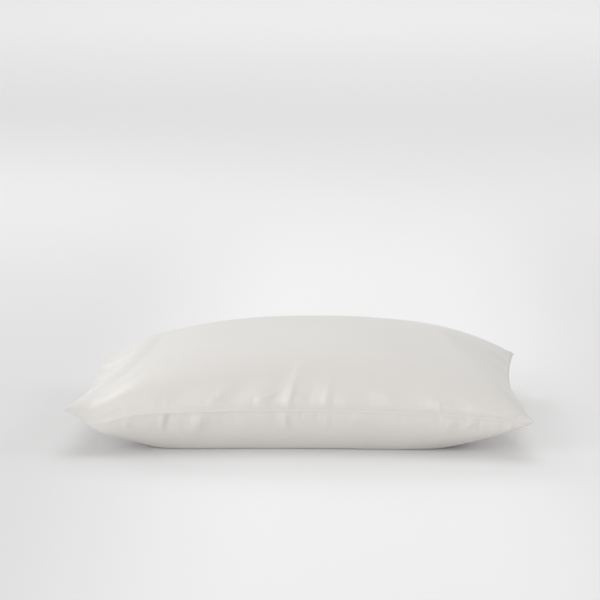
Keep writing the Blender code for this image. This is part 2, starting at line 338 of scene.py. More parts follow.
    def fullness(self, u: np.ndarray, v: np.ndarray, panel: Panel) -> np.ndarray:
        """Share of its full rise that a panel reaches.

        Top: roundness along times roundness across. Bottom: one over the root of the sum of
        their inverse powers less one. Both change in a straight line along the case.

        Args:
            u: places along the case.
            v: places across it.
            panel: the panel.

        Returns:
            The share at each place.
        """
        if panel is Panel.TOP:
            across = np.where(v < 0.0, self.top_to_near.at(v), self.top_to_far.at(v))
            return (1.0 + self.fuller_top * u) * self.top_along(u, v) * across
        filled = np.where(u < 0.0, u / self.filling_end, u)
        along = np.where(u < 0.0, self.bottom_to_open.at(filled), self.bottom_to_closed.at(filled))
        across = self.bottom_across.at(v)
        power = -self.lower_edge
        along = np.maximum(along, self.least_share) ** power
        across = np.maximum(across, self.least_share) ** power
        return (1.0 + self.fuller_bottom * u) * (along + across - 1.0) ** (1.0 / power)

    def points(self, u: np.ndarray, v: np.ndarray, panel: Panel) -> np.ndarray:
        """Points of a panel without its folds.

        Args:
            u: places along the case.
            v: places across it.
            panel: the panel.

        Returns:
            X, Y and Z in the last axis.
        """
        x, y = self.plan(u, v)
        share = self.fullness(u, v, panel)
        if panel is Panel.TOP:
            z = self.seam_height(u, v) + self.half_thickness(u, v) + self.crown * share
        else:
            z = self.seam_height(u, v) - self.half_thickness(u, v) - self.belly * share
            y = y - self.tip_lip_out * self.at_tip(u, v)
        return np.stack([x, y, z], axis=-1)


def outward(points: np.ndarray, panel: Panel) -> np.ndarray:
    """Unit normals of a panel: the cross product of the steps along the grid's two ways.

    Args:
        points: the panel's points.
        panel: the panel, which says which way is out.

    Returns:
        One unit vector for each point.
    """
    normals = np.cross(np.gradient(points, axis=0), np.gradient(points, axis=1))
    normals /= np.maximum(np.linalg.norm(normals, axis=-1, keepdims=True), LEAST_LENGTH)
    return normals if panel is Panel.TOP else -normals


def arc_lengths(points: np.ndarray, axis: int) -> np.ndarray:
    """Length along the grid lines of one axis, from their first point to each point.

    Args:
        points: points of a grid or a line, with X, Y and Z in the last axis.
        axis: the axis that the lines run along.

    Returns:
        The length at each point.
    """
    steps = np.linalg.norm(np.diff(points, axis=axis), axis=-1)
    lengths = np.cumsum(steps, axis=axis)
    start = np.zeros_like(np.take(lengths, [0], axis=axis))
    return np.concatenate([start, lengths], axis=axis)


PHOTO_FOLDS = (
    fold_rows(Side.NEAR, Panel.TOP, (
        (-285.0, 4.40, 75.0, 75.0, -4.5),
        (-340.0, 1.00, 30.0, 120.0, 3.0),
        (-290.0, 0.00, 42.0, 44.0, -4.6),
        (-22.5, 0.28, 6.5, 105.0, 3.2),
        (-48.0, 0.40, 16.0, 105.0, -3.6),
        (38.0, 0.22, 7.0, 75.0, 1.8),
        (10.0, 0.25, 13.0, 85.0, -2.0),
        (-80.0, 1.45, 9.0, 60.0, 2.0),
        (-155.0, 1.00, 8.0, 60.0, 2.4),
        (-118.0, 0.80, 20.0, 75.0, -3.4),
        (-205.0, 0.50, 24.0, 85.0, -2.6),
        (78.0, -0.20, 12.0, 50.0, 0.6),
        (112.0, -0.30, 22.0, 75.0, -1.5),
        (148.0, -0.35, 11.0, 60.0, 0.9),
        (190.0, -0.45, 24.0, 75.0, -1.6),
        (226.0, -0.55, 11.0, 60.0, 0.9),
        (262.0, -0.60, 14.0, 60.0, -1.4),
    ))
    + fold_rows(Side.NEAR, Panel.BOTTOM, (
        (-277.0, 0.00, 7.0, 40.0, 1.3),
        (-221.0, 0.00, 4.5, 40.0, 2.6),
        (-208.0, 0.00, 8.0, 45.0, -1.6),
        (-161.0, -0.17, 12.0, 60.0, 3.6),
        (-120.0, 0.10, 16.0, 50.0, -1.8),
        (-25.0, 0.06, 5.0, 48.0, 2.8),
        (-44.0, 0.10, 12.0, 48.0, -1.4),
        (39.0, 0.05, 6.0, 40.0, 1.8),
        (92.0, 0.65, 16.0, 45.0, 2.2),
        (207.0, 0.30, 6.0, 20.0, 1.4),
        (240.0, 0.00, 9.0, 40.0, 2.4),
        (281.0, -0.80, 6.0, 32.0, 1.8),
    ))
)
HIDDEN_FOLDS = (
    fold_rows(Side.FAR, Panel.TOP, (
        (-240.0, 0.90, 18.0, 80.0, 2.6),
        (30.0, 0.20, 16.0, 70.0, 2.2),
        (225.0, -0.50, 15.0, 70.0, 2.2),
    ))
    + fold_rows(Side.FAR, Panel.BOTTOM, (
        (-110.0, 0.20, 15.0, 55.0, 2.2),
        (150.0, -0.20, 15.0, 55.0, 2.2),
    ))
    + fold_rows(Side.CLOSED, Panel.TOP, (
        (-110.0, 0.40, 20.0, 90.0, 2.6),
        (50.0, -0.20, 16.0, 80.0, 2.4),
        (140.0, -0.50, 20.0, 90.0, 2.6),
    ))
    + fold_rows(Side.CLOSED, Panel.BOTTOM, (
        (-60.0, 0.10, 16.0, 60.0, 2.2),
        (90.0, -0.20, 16.0, 60.0, 2.2),
    ))
    + fold_rows(Side.OPEN, Panel.TOP, (
        (-90.0, 0.30, 20.0, 110.0, 2.6),
        (20.0, 0.10, 18.0, 100.0, 3.0),
        (120.0, -0.30, 20.0, 110.0, 3.0),
    ))
    + fold_rows(Side.OPEN, Panel.BOTTOM, (
        (-50.0, 0.10, 18.0, 70.0, 2.2),
        (80.0, -0.20, 18.0, 70.0, 2.2),
    ))
)
RIDGES = (
    Ridge(((-250.0, 352.0), (-180.0, 316.0), (-120.0, 286.0),
           (-40.0, 260.0), (90.0, 232.0), (150.0, 222.0)),
          (38.0 * MM, 30.0 * MM), 6.0 * MM, 80.0 * MM),
    Ridge(((-175.0, -341.0), (-110.0, -311.0), (-55.0, -288.0),
           (0.0, -271.0), (55.0, -261.0), (190.0, -256.0)),
          (15.0 * MM, 60.0 * MM), -5.0 * MM, 110.0 * MM),
)


@dataclass
class Creases:
    """Everything that breaks the smooth form: folds, seam puckers and the filling's unevenness."""

    folds: list[Fold]
    ridges: tuple[Ridge, ...]
    pucker_spacing: float = 9.0 * MM
    pucker_width: tuple[float, float] = (2.2 * MM, 4.5 * MM)
    pucker_reach: tuple[float, float] = (12.0 * MM, 40.0 * MM)
    pucker_height: float = 0.65 * MM
    pucker_shift: float = 0.35          # how far they stray from even places, in spacings
    pucker_lean: float = 0.25
    pucker_free: float = 60.0 * MM      # start of a long seam without any; they grow in over as much again
    uneven_height: float = 0.5 * MM
    uneven_falls: float = 0.5           # wave k has the first one's height over 1 + k times this
    uneven_phase: float = 1.7           # from each wave to the next
    uneven_waves: tuple[tuple[float, float], ...] = ((1.9, 0.7), (-1.1, 2.3), (3.1, -1.6), (4.3, 2.2))
    ridges_start: float = 25.0 * MM     # strip along the long seams in which the ridges rise
    seed: int = 11

    def puckers(self, side: Side, panel: Panel, half_run: float) -> list[Fold]:
        """Small seeded puckers along one seam of one panel.

        A long seam has none at its start by the open end, where the flat hem runs into it.

        Args:
            side: the seam's side.
            panel: the panel.
            half_run: half the length of the seam.

        Returns:
            The puckers, as folds of uneven place, lean, width, reach and height.
        """
        order = list(Side).index(side) * 2 + list(Panel).index(panel)
        chance = np.random.default_rng(self.seed + order)
        count = int(2.0 * half_run / self.pucker_spacing)
        at = np.linspace(-half_run, half_run, count)
        at = at + chance.normal(0.0, self.pucker_shift, count) * self.pucker_spacing
        lean = chance.normal(0.0, self.pucker_lean, count)
        width = chance.uniform(*self.pucker_width, count)
        reach = chance.uniform(*self.pucker_reach, count)
        height = chance.normal(0.0, 1.0, count) * self.pucker_height
        if side is not Side.CLOSED:
            height = height * np.clip((at + half_run) / self.pucker_free - 1.0, 0.0, 1.0)
        return [Fold(side, panel, *row) for row in zip(at, lean, width, reach, height)]

    def all_folds(self, panel: Panel, form: CaseForm) -> list[Fold]:
        """The folds and puckers of one panel.

        Args:
            panel: the panel.
            form: the form that they lie on.

        Returns:
            Its folds, then its seam puckers.
        """
        folds = [fold for fold in self.folds if fold.panel is panel]
        for side in (Side.NEAR, Side.FAR):
            folds += self.puckers(side, panel, form.length / 2.0)
        folds += self.puckers(Side.CLOSED, panel, form.width / 2.0)
        return folds

    def heights(self, points: np.ndarray, u: np.ndarray, v: np.ndarray, panel: Panel,
                form: CaseForm) -> np.ndarray:
        """How far the creases lift each point off the smooth form.

        A fold is a bell curve across its line, times a sine squared of the square root of the
        share of its reach, which is highest at a quarter of it. The unevenness is a sum of
        cosine waves that fades out at the seams. The top panel's ridges rise in a straight line
        from the long seams.

        Args:
            points: the panel's points on the smooth form.
            u: their places along the case.
            v: their places across it.
            panel: the panel.
            form: the smooth form.

        Returns:
            The height at each point.
        """
        edges = {Side.NEAR: points[:, :1], Side.FAR: points[:, -1:],
                 Side.OPEN: points[:1], Side.CLOSED: points[-1:]}
        away = {}
        for side, edge in edges.items():
            offset = points - edge
            offset[..., side.runs_along()] = 0.0
            away[side] = np.linalg.norm(offset, axis=-1)
        height = np.zeros(points.shape[:2])
        for fold in self.all_folds(panel, form):
            run = points[..., fold.side.runs_along()]
            centre = fold.at + fold.lean * away[fold.side]
            ridge = np.exp(-(((run - centre) / fold.width) ** 2))
            share = np.clip(away[fold.side] / fold.reach, 0.0, 1.0)
            height += fold.height * ridge * np.sin(pi * np.sqrt(share)) ** 2
        filled = np.clip(form.fullness(u, v, panel), 0.0, 1.0)
        for order, (along, across) in enumerate(self.uneven_waves):
            wave = np.cos(pi * (along * u + across * v) + self.uneven_phase * order)
            height += self.uneven_height / (1.0 + self.uneven_falls * order) * wave * filled
        if panel is Panel.TOP:
            nearest = np.minimum(away[Side.NEAR], away[Side.FAR])
            from_sides = np.clip(nearest / self.ridges_start, 0.0, 1.0)
            for ridge in self.ridges:
                height += ridge.heights(points[..., 0], points[..., 1]) * from_sides
        return height


def grid_quads(rows: int, columns: int, wrap: bool) -> np.ndarray:
    """Corner numbers of the quads of a grid of points, row after row.

    Args:
        rows: how many rows of points it has.
        columns: how many points a row has.
        wrap: whether the last column is joined to the first.

    Returns:
        An array of four corners for each quad, as row and column pairs.
    """
    across = columns if wrap else columns - 1
    row, column = np.meshgrid(np.arange(rows - 1), np.arange(across), indexing="ij")
    corners = [(row, column), (row + 1, column), (row + 1, column + 1), (row, column + 1)]
    return np.stack([np.stack(pair, axis=-1) for pair in corners], axis=2).reshape(-1, 4, 2)


def new_piece(name: str, points: np.ndarray, quads: np.ndarray, cloth: np.ndarray,
              material: bpy.types.Material) -> bpy.types.Object:
    """An object from arrays of points and quads, shaded smooth, with its UV map in metres of cloth.

    Args:
        name: the object's name.
        points: X, Y and Z of each point.
        quads: four point numbers for each face.
        cloth: the UV of each corner of each face.
        material: its material.

    Returns:
        The object, linked to the scene.
    """
    mesh = bpy.data.meshes.new(name)
    mesh.vertices.add(len(points))
    mesh.vertices.foreach_set("co", points.astype(np.float32).ravel())
    mesh.loops.add(quads.size)
    mesh.loops.foreach_set("vertex_index", quads.astype(np.int32).ravel())
    mesh.polygons.add(len(quads))
    mesh.polygons.foreach_set("loop_start", np.arange(0, quads.size, 4, dtype=np.int32))
    mesh.update(calc_edges=True)
    layer = mesh.uv_layers.new(name="cloth")
    layer.uv.foreach_set("vector", cloth.astype(np.float32).ravel())
    mesh.validate()
    mesh.shade_smooth()
    mesh.materials.append(material)
    piece = bpy.data.objects.new(name, mesh)
    bpy.context.scene.collection.objects.link(piece)
    return piece


@dataclass
class SatinCase:
    """The case itself: both panels, the seam's bead, the hem and the mouth, as one closed surface."""

    form: CaseForm
    creases: Creases
    material: bpy.types.Material
    hem_near: float = 44.0 * MM         # width at the near corner, where the flap draws it in
    hem_full: float = 110.0 * MM
    hem_widens: float = 0.42            # how far in from the near side it widens, in v
    hem_within: float = -0.5            # u that its edge lies short of everywhere
    hem_samples: int = 200              # places along u at which its width is measured
    hem_thickness: float = 0.25 * MM
    hem_step: float = 1.2 * MM          # width of the step at its edge, at the slope of its middle
    edge_rows: tuple[float, ...] = (0.5 * MM, 1.0 * MM, 1.6 * MM, 2.4 * MM, 3.4 * MM)   # from its edge
    stitch_row: int = 2                 # which of them the stitches lie on, on the mouth's side
    stitch_margin: int = 2              # columns at each side that they leave free
    puff: float = 0.5 * MM              # how proud the filled part stands just past the stitches
    puff_reach: float = 8.0 * MM
    flap_part: float = 0.4              # part of the widening stretch that the flap takes up
    hem_plain_part: float = 0.2         # share of the hem's relief past the flap, where cloth lies flat
    hem_relief_fade: float = 8.0        # power by which it dies away towards the seams
    hem_ripple: float = 0.15 * MM       # puckers along the stitches
    hem_ripple_reach: float = 5.0 * MM
    ripple_wave: float = 61.0           # radians for each unit of v
    ripple_sway: float = 9.0            # radians by which its phase goes to and fro
    ripple_sway_wave: float = 5.0       # radians for each unit of v
    ripple_beat: float = 23.0           # radians for each unit of v
    ripple_start: float = 1.0           # phase of the beat, in radians
    hem_rows: int = 34
    hem_rows_stop: float = 1.6          # how far short of its edge they stop, in reaches of the fine rows
    body_rows: int = 300
    body_easing: float = 0.4            # how strongly they crowd towards the closed end
    columns_top: int = 150
    columns_bottom: int = 110
    easing: float = 0.75                # how strongly the columns crowd towards the seams
    bead_bulge: float = 0.5 * MM
    bead_steps: tuple[float, ...] = (25.0, 50.0, 75.0, 90.0, 105.0, 130.0, 155.0)   # in degrees
    closed_steps: tuple[float, ...] = (25.0, 50.0, 75.0, 86.0)  # in degrees; 90 would leave no height
    lip_bulge: float = 0.35             # how far the mouth's edge stands out, in thicknesses of a lip
    mouth_depth: float = 18.0 * MM
    mouth_floor: float = 0.4 * MM
    mouth_rows: int = 6
    surfaces: dict[Panel, np.ndarray] = field(default_factory=dict)

    def hem_width(self, v: np.ndarray) -> np.ndarray:
        """Width of the hem across the case, which eases from the near corner's to the full one."""
        return self.hem_near + (self.hem_full - self.hem_near) * smooth_step((1.0 + v) / self.hem_widens)

    def hem_places(self, v: np.ndarray, panel: Panel) -> np.ndarray:
        """u of the hem's sewn edge at each v, where the arc from the mouth is the hem's width.

        Args:
            v: places across the case.
            panel: the panel.

        Returns:
            One u for each place.
        """
        u = np.linspace(-1.0, self.hem_within, self.hem_samples)
        grid_u, grid_v = np.meshgrid(u, v, indexing="ij")
        lengths = arc_lengths(self.form.points(grid_u, grid_v, panel), 0)
        wanted = self.hem_width(v)
        return np.array([np.interp(wanted[k], lengths[:, k], u) for k in range(len(v))])

    def rows(self, hem_u: np.ndarray) -> np.ndarray:
        """u of every row and column: rows that crowd at the hem's edge and follow it.

        Args:
            hem_u: u of the hem's edge in each column.

        Returns:
            An array of rows by columns.
        """
        fine = np.array(self.edge_rows) / (self.form.length / 2.0)
        share = np.linspace(0.0, 1.0, self.hem_rows)
        first = -1.0 + share[:, None] * (hem_u - fine[-1] * self.hem_rows_stop + 1.0)
        around = hem_u + np.concatenate([-fine[::-1], [0.0], fine])[:, None]
        share = crowded(np.linspace(0.0, 1.0, self.body_rows)[1:], self.body_easing)
        start = hem_u + fine[-1]
        return np.concatenate([first, around, start + share[:, None] * (1.0 - start)])

    def hem_relief(self, points: np.ndarray, v: np.ndarray) -> np.ndarray:
        """Height along the hem: its extra layers, the cloth that puffs up past it, and puckers.

        The step at the hem's edge is a hyperbolic tangent. Past it a puff dies away as an
        exponential. Along it runs a sine whose phase sways, times a slower sine, which fades to
        both sides as a bell. All of it grows fainter past the flap.

        Args:
            points: the panel's points.
            v: places across the case.

        Returns:
            The height at each point.
        """
        inside = self.hem_width(v) - arc_lengths(points, 0)
        step = (1.0 + np.tanh(2.0 * inside / self.hem_step)) / 2.0
        puff = (1.0 - step) * np.exp(np.minimum(inside, 0.0) / self.puff_reach)
        sway = self.ripple_sway * np.sin(self.ripple_sway_wave * v)
        waves = np.sin(self.ripple_wave * v + sway) * np.sin(self.ripple_beat * v + self.ripple_start)
        fade = np.exp(-((inside / self.hem_ripple_reach) ** 2))
        height = self.hem_thickness * step + self.puff * puff + self.hem_ripple * waves * fade
        past_flap = np.clip((1.0 + v) / self.hem_widens - self.flap_part, 0.0, 1.0)
        return height * (1.0 - (1.0 - self.hem_plain_part) * past_flap)

    def panel_points(self, panel: Panel, count: int) -> np.ndarray:
        """Finished points of a panel: the smooth form moved out along its normals by its relief.

        Nothing goes lower than the floor. The bottom panel is a little wider, so that its edges
        lie under the outside of the bead.

        Args:
            panel: the panel.
            count: how many columns it has across.

        Returns:
            Its points, as rows by columns.
        """
        v = crowded(np.linspace(-1.0, 1.0, count), self.easing)
        u = self.rows(self.hem_places(v, panel))
        grid_v = np.broadcast_to(v, u.shape)
        points = self.form.points(u, grid_v, panel)
        height = self.creases.heights(points, u, grid_v, panel, self.form)
        height = height + self.hem_relief(points, v) * (1.0 - np.abs(grid_v) ** self.hem_relief_fade)
        points = points + height[..., None] * outward(points, panel)
        points[..., 2] = np.maximum(points[..., 2], 0.0)
        if panel is Panel.BOTTOM:
            ledge = self.form.bead_width - self.bead_bulge
            points[..., 1] *= 1.0 + 2.0 * ledge / self.form.width
        return points

    def bead(self, upper: np.ndarray, lower: np.ndarray, outward_step: np.ndarray) -> np.ndarray:
        """The folded edge of a seam: a narrow ledge that slopes from one panel down to the other.

        Its profile follows the straight line between the two edges as the cosine of an angle,
        and bulges out from it as its sine.

        Args:
            upper: points of the top panel's edge.
            lower: points of the bottom panel's edge, which lie further out.
            outward_step: vector that the bulge goes out along.

        Returns:
            The bead's points, with the profile's steps in the second last axis.
        """
        angle = np.radians(np.array(self.bead_steps))[:, None]
        middle = (upper + lower)[:, None] / 2.0
        half = (upper - lower)[:, None] / 2.0
        return middle + np.sin(angle) * outward_step + half * np.cos(angle)

    def rings(self, top: np.ndarray, bottom: np.ndarray) -> np.ndarray:
        """Closed rings round the case: top panel, far bead, bottom panel, near bead.

        Args:
            top: points of the top panel.
            bottom: points of the bottom panel.

        Returns:
            One ring for each row of the panels.
        """
        out = np.array([0.0, self.bead_bulge, 0.0])
        far = self.bead(top[:, -1], bottom[:, -1], out)
        near = self.bead(top[:, 0], bottom[:, 0], -out)[:, ::-1]
        return np.concatenate([top, far, bottom[:, ::-1], near], axis=1)

    def closed_rings(self, last: np.ndarray, counts: tuple[int, int]) -> np.ndarray:
        """Rings that carry the bead round the closed end.

        Each one moves the last ring out along X and draws it towards its middle height.

        Args:
            last: the ring at the closed end.
            counts: columns of the top and the bottom panel.

        Returns:
            The rings, the last one nearly flat.
        """
        middle = np.interp(last[:, 1], *self.edge_middle(last, counts))
        rings = []
        for degrees in self.closed_steps:
            angle = radians(degrees)
            ring = last.copy()
            ring[:, 0] += self.form.bead_width * sin(angle)
            ring[:, 2] = middle + (last[:, 2] - middle) * cos(angle)
            rings.append(ring)
        return np.stack(rings)

    def edge_middle(self, ring: np.ndarray, counts: tuple[int, int]) -> tuple[np.ndarray, np.ndarray]:
        """Y and middle Z along an end's edge, halfway between its two panels.

        Args:
            ring: the ring at that end.
            counts: columns of the top and the bottom panel.

        Returns:
            Y and Z at each column of the top panel.
        """
        top = ring[: counts[0]]
        start = counts[0] + len(self.bead_steps)
        bottom = ring[start: start + counts[1]][::-1]
        height = (top[:, 2] + np.interp(top[:, 1], bottom[:, 1], bottom[:, 2])) / 2.0
        return top[:, 1], height

    def mouth_rings(self, first: np.ndarray, counts: tuple[int, int]) -> np.ndarray:
        """Rings that fold the lips in and line the mouth, down to its floor.

        The gap shrinks from the lips to the floor, and the rings follow the sheet of the seam.

        Args:
            first: the ring at the open end.
            counts: columns of the top and the bottom panel.

        Returns:
            The rings, from the mouth's floor out to the lips.
        """
        form = self.form
        across = np.clip(first[:, 1] / (form.width / 2.0), -1.0, 1.0)
        inset = 1.0 - 2.0 * form.lip_thickness / form.width
        upward = np.where(np.arange(len(first)) < counts[0], 1.0, -1.0)
        far_bead = slice(counts[0], counts[0] + len(self.bead_steps))
        near_bead = slice(len(first) - len(self.bead_steps), len(first))
        upward[far_bead] = np.linspace(1.0, -1.0, len(self.bead_steps) + 2)[1:-1]
        upward[near_bead] = np.linspace(-1.0, 1.0, len(self.bead_steps) + 2)[1:-1]
        rings = []
        for share in np.linspace(1.0, 0.0, self.mouth_rows):
            u = np.full(len(first), share * self.mouth_depth / (form.length / 2.0) - 1.0)
            x, _ = form.plan(u, across)
            gap = form.gap(across) + (self.mouth_floor - form.gap(across)) * share
            z = form.seam_height(u, across) + upward * gap / 2.0
            rings.append(np.stack([x, first[:, 1] * inset, z], axis=-1))
        lip = first.copy()
        lip[:, 0] -= self.lip_bulge * form.lip_thickness
        lip[:, 1:] = (lip[:, 1:] + rings[-1][:, 1:]) / 2.0
        rings.append(lip)
        return np.stack(rings)

    def build(self) -> bpy.types.Object:
        """The finished piece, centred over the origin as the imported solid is.

        Returns:
            The object.
        """
        top = self.panel_points(Panel.TOP, self.columns_top)
        bottom = self.panel_points(Panel.BOTTOM, self.columns_bottom)
        counts = (self.columns_top, self.columns_bottom)
        rings = self.rings(top, bottom)
        rings = np.concatenate([self.mouth_rings(rings[0], counts), rings,
                                self.closed_rings(rings[-1], counts)])
        rows, columns = rings.shape[:2]
        pairs = grid_quads(rows, columns, wrap=True)
        quads = pairs[..., 0] * columns + pairs[..., 1] % columns
        closed = np.concatenate([rings, rings[:, :1]], axis=1)
        cloth = np.stack([arc_lengths(closed, 0), arc_lengths(closed, 1)], axis=-1)
        cloth_corners = cloth[pairs[..., 0], pairs[..., 1]]
        points = rings.reshape(-1, 3)
        centre = (points.min(axis=0) + points.max(axis=0)) / 2.0
        centre[2] = 0.0
        end_quads, end_cloth = self.end_strips(rows, columns, counts, cloth)
        quads = np.concatenate([quads, end_quads])
        cloth_corners = np.concatenate([cloth_corners, end_cloth])
        self.surfaces = {Panel.TOP: top - centre, Panel.BOTTOM: bottom - centre}
        return new_piece("satin_case", points - centre, quads, cloth_corners, self.material)

    def stitch_line(self, panel: Panel) -> tuple[np.ndarray, np.ndarray]:
        """Points and normals along the hem's stitches on one panel of the finished piece.

        Args:
            panel: the panel.

        Returns:
            The points and the unit normals.
        """
        surface = self.surfaces[panel]
        row = self.hem_rows + len(self.edge_rows) - 1 - self.stitch_row
        columns = slice(self.stitch_margin, -self.stitch_margin)
        return surface[row, columns], outward(surface, panel)[row, columns]

    def end_strips(self, rows: int, columns: int, counts: tuple[int, int],
                   cloth: np.ndarray) -> tuple[np.ndarray, np.ndarray]:
        """Faces that close the mouth's floor and the closed end, from the top half to the bottom half.

        Args:
            rows: rows of points.
            columns: points in a ring.
            counts: columns of the top and the bottom panel.
            cloth: the UV of each point.

        Returns:
            Quads and their UVs.
        """
        upper = np.arange(-1, counts[0] + 1) % columns
        lower_count = counts[1] + 2
        lower = (counts[0] + len(self.bead_steps) - 1 + np.arange(lower_count))[::-1] % columns
        pick = np.round(np.linspace(0, lower_count - 1, len(upper))).astype(int)
        lower = lower[pick]
        first = np.stack([upper[:-1], upper[1:], lower[1:], lower[:-1]], axis=-1)
        last = first[:, [0, 3, 2, 1]] + (rows - 1) * columns
        quads = np.concatenate([first, last])
        flat = cloth[:, :-1].reshape(-1, 2)
        return quads, flat[quads]


@dataclass
class HemStitches:
    """The row of lockstitches that holds the hem: one short arched float of thread for each."""

    material: bpy.types.Material
    pitch: float = 3.0 * MM
    stitch_length: float = 2.3 * MM
    thread_radius: float = 0.22 * MM
    ends_dip: float = 1.2       # how far its ends lie below its middle, in radii
    ends_taper: float = 0.6     # share of the radius that its ends lose
    sides: int = 6              # the two quads of its caps fit six sides alone
    steps: int = 5

    def build(self, name: str, line: np.ndarray, normals: np.ndarray) -> bpy.types.Object:
        """The row of stitches along a line on the cloth.

        Each stitch is a tube round a short piece of the line. From its middle to its ends its
        height over the cloth falls as a square, and its radius as a fourth power, so that its
        capped ends dip into the cloth.

        Args:
            name: the object's name.
            line: points along the line.
            normals: the cloth's unit normals there.

        Returns:
            The object, linked to the scene.
        """
        lengths = arc_lengths(line, 0)
        count = int(lengths[-1] / self.pitch)
        share = np.linspace(-1.0, 1.0, self.steps)
        middles = (np.arange(count) + 0.5) * lengths[-1] / count
        along = middles[:, None] + share * self.stitch_length / 2.0
        tangents = np.gradient(line, lengths, axis=0)
        centres, ups, ahead = (np.stack([np.interp(along, lengths, values[:, k]) for k in range(3)], axis=-1)
                               for values in (line, normals, tangents))
        aside = np.cross(ups, ahead)
        arch = self.thread_radius * (1.0 - self.ends_dip * share**2)
        radius = (self.thread_radius * (1.0 - self.ends_taper * share**4))[:, None, None]
        angle = np.linspace(0.0, 2.0 * pi, self.sides, endpoint=False)[:, None]
        centres = centres + ups * arch[:, None]
        around = np.cos(angle) * aside[:, :, None] + np.sin(angle) * ups[:, :, None]
        points = centres[:, :, None] + radius * around
        pairs = grid_quads(self.steps, self.sides, wrap=True)
        tube = pairs[..., 0] * self.sides + pairs[..., 1] % self.sides
        cap = np.array([[0, 1, 2, 3], [0, 3, 4, 5]])
        last = (self.steps - 1) * self.sides
        one = np.concatenate([tube[:, ::-1], cap, cap[:, ::-1] + last])
        quads = (np.arange(count)[:, None, None] * self.steps * self.sides + one).reshape(-1, 4)
        cloth = np.stack([np.broadcast_to(along[:, :, None], points.shape[:3]),
                          np.broadcast_to(angle[:, 0] * self.thread_radius, points.shape[:3])], axis=-1)
        return new_piece(name, points.reshape(-1, 3), quads, cloth.reshape(-1, 2)[quads], self.material)


@dataclass(frozen=True)
class Finish:
    """Colour, gloss and sheen of a material."""

    name: str
    colour: str         # sRGB hex
    roughness: float
    sheen: float = 0.0


@dataclass(frozen=True)
class SatinFinish(Finish):
    """Polyester satin, woven with long floats: pale, smooth, with a soft sheen along the floats.

    Its threads lie 0.1 mm apart, which no picture of the whole case shows. The slubs that the
    eye does pick up in the gloss are drawn instead, as a bump of noise along the floats.
    """

    clouded: str = "#DBD8D4"            # sRGB hex that it drifts towards, by 3 of 255 levels
    cloud_size: float = 120.0 * MM
    cloud_detail: float = 1.0
    slub_length: float = 25.0 * MM
    slub_width: float = 1.5 * MM
    slub_detail: float = 2.0
    slub_height: float = 0.1 * MM
    slub_strength: float = 0.12
    sheen_roughness: float = 0.4


@dataclass(frozen=True)
class PaperFinish(Finish):
    """Matt white paper, which has no gloss, with a painted shade that greys it to both sides of the case."""

    painted_shade_grey: str = "#DDDDDD"                       # sRGB hex of the painted shade to both sides
    middle: float = 0.12                        # X that the distances to both sides start from
    beside: tuple[float, float] = (0.15, 0.6)   # distances over which the painted shade comes in
    behind: tuple[float, float] = (0.3, 3.0)    # Y over which the painted shade fades out again


SATIN = SatinFinish("off_white_satin", "#D8D5D1", roughness=0.42, sheen=0.3)
# Spun polyester sewing thread is paler than the satin and duller, with a fuzzy edge.
THREAD = Finish("spun_polyester_thread", "#EDEBE7", roughness=0.6, sheen=0.4)
PAPER = PaperFinish("matt_white_paper", "#EFEFEF", roughness=0.9)


def linear(colour: str) -> tuple[float, float, float, float]:
    """Linear RGBA of an sRGB hex colour, by the sRGB standard's own curve.

    Args:
        colour: the colour, as # and six digits.

    Returns:
        Red, green, blue and a full alpha.
    """
    values = np.array([int(colour[k: k + 2], 16) for k in (1, 3, 5)]) / 255.0
    values = np.where(values <= 0.04045, values / 12.92, ((values + 0.055) / 1.055) ** 2.4)
    return (*values.tolist(), 1.0)


def add_node(tree: bpy.types.NodeTree, kind: str, settings: dict[str, Any],
             links: dict[str, bpy.types.NodeSocket]) -> bpy.types.Node:
    """Adds a node with its settings and links.

    Args:
        tree: the tree that it goes into.
        kind: the node's type.
        settings: values of its properties, or of its inputs where the name is one of theirs.
        links: the outputs that feed its inputs, by the input's name.

    Returns:
        The node.
    """
    node = tree.nodes.new(kind)
    for name, value in settings.items():
        if hasattr(node, name):
            setattr(node, name, value)
        else:
            node.inputs[name].default_value = value
    for name, output in links.items():
        tree.links.new(output, node.inputs[name])
    return node


def new_material(finish: Finish) -> tuple[bpy.types.Material, bpy.types.Node]:
    """A material with a finish's colour, roughness and sheen.

    Args:
        finish: the finish.

    Returns:
        The material and its shader node.
    """
    material = bpy.data.materials.new(finish.name)
    material.use_nodes = True
    shader = material.node_tree.nodes["Principled BSDF"]
    shader.inputs["Base Color"].default_value = linear(finish.colour)
    shader.inputs["Roughness"].default_value = finish.roughness
    shader.inputs["Sheen Weight"].default_value = finish.sheen
    return material, shader


